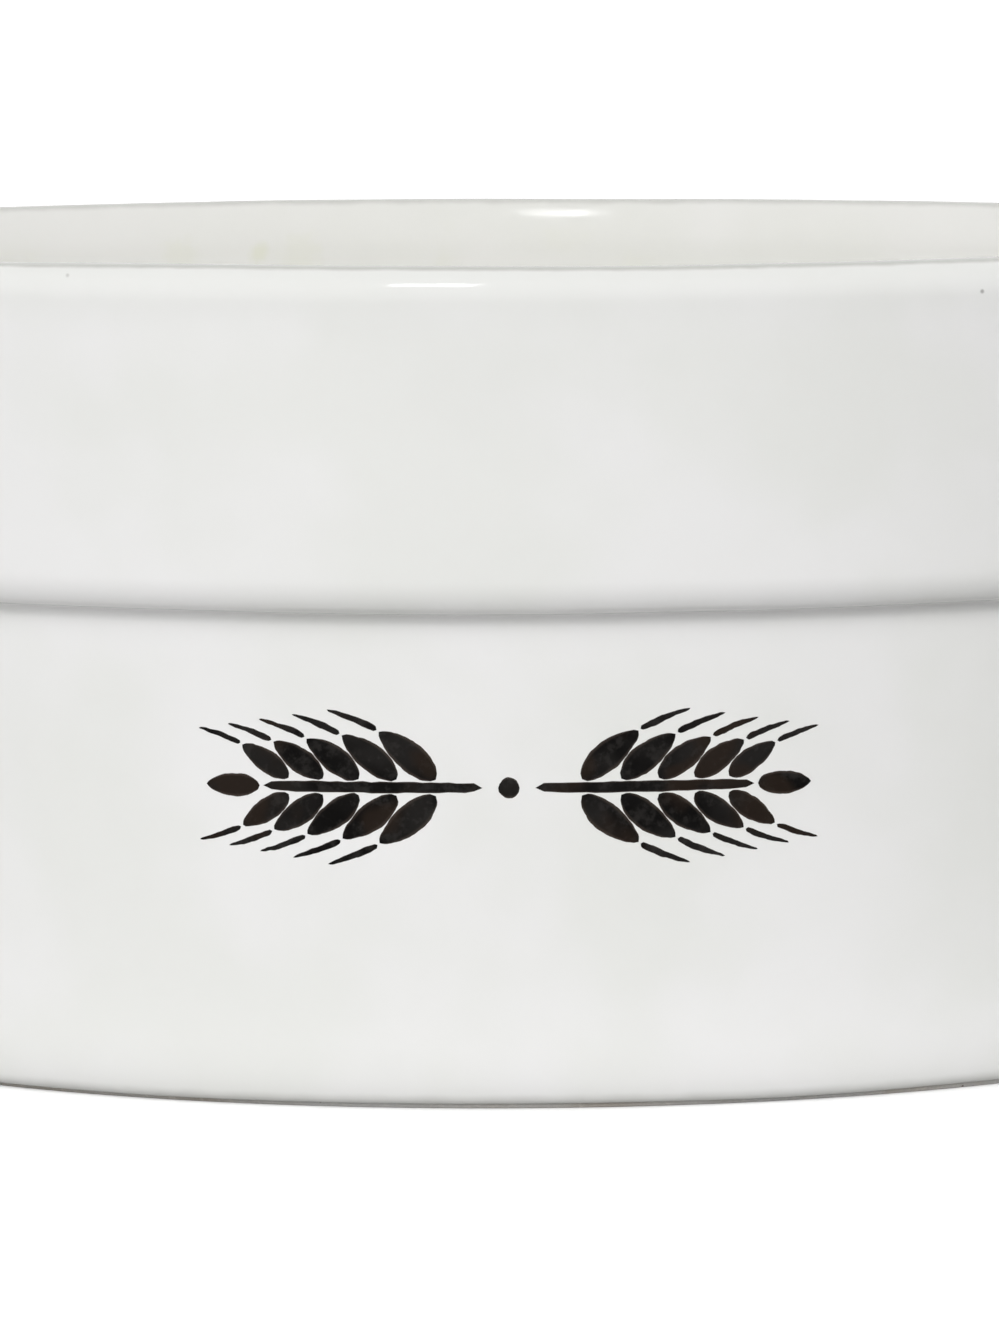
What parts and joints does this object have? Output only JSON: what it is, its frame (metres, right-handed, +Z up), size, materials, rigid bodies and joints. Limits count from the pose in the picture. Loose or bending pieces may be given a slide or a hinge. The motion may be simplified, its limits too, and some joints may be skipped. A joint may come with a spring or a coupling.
{
  "type": "bread crock",
  "caption": "Round, low, open stoneware bread crock with a deep collar round its mouth, white glazed outside and cream glazed inside, standing on a bare foot ring.",
  "frame": {"origin": "middle of the foot ring's face, on the surface the crock stands on", "axes": "+Z up along the axis of the vessel; -Y towards the decorated side that the picture shows; +X to the right as seen from there"},
  "size_m": [0.305, 0.305, 0.135],
  "materials": {
    "stoneware": "matt, fired off-white stoneware, bare on the foot ring only",
    "white_glaze": "gloss, slightly uneven white glaze",
    "liner_glaze": "gloss, warmer cream-white glaze",
    "base_glaze": "half gloss, thin white glaze"
  },
  "bodies": {
    "root": {"crock_body": "stoneware", "outer_glaze": "white_glaze", "liner_glaze": "liner_glaze", "base_glaze": "base_glaze"}
  },
  "joints": []
}
